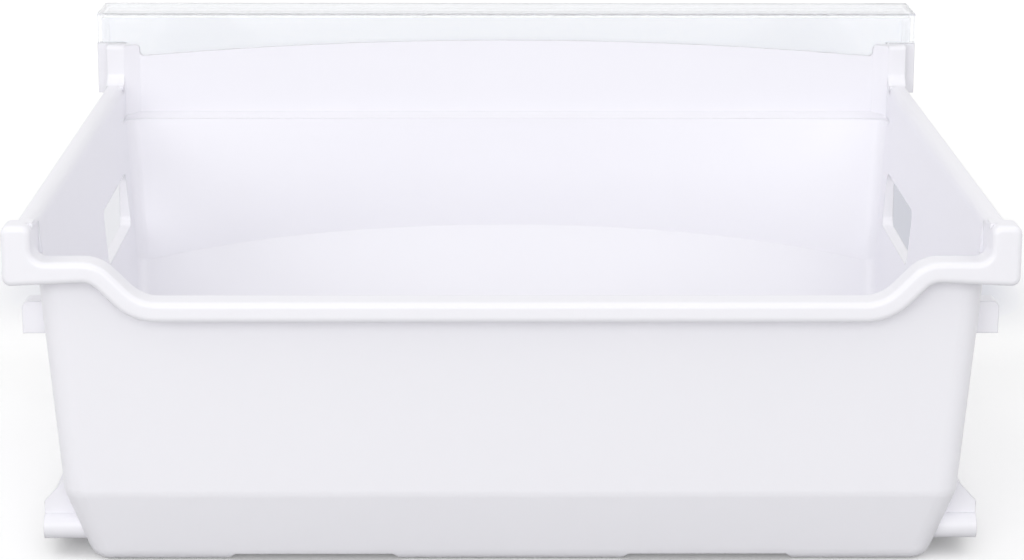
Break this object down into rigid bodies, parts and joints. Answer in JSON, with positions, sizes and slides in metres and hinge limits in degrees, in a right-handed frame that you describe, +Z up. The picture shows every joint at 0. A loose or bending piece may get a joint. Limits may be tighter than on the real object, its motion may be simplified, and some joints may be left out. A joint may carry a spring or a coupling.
{
  "type": "freezer drawer",
  "caption": "White moulded freezer drawer with a dipped rear rim, side hand-holes, low runners and a clear pull strip along its front.",
  "frame": {"origin": "under the middle of the drawer's overall box, on the surface it stands on", "axes": "+X across the drawer, +Y towards its front with the clear pull strip, +Z up"},
  "size_m": [0.458, 0.407, 0.206],
  "materials": {
    "tub_plastic": "satin white injection-moulded plastic",
    "clear_plastic": "clear polished injection-moulded plastic"
  },
  "bodies": {
    "root": {"drawer_tub": "tub_plastic", "handle_strip": "clear_plastic"}
  },
  "joints": []
}
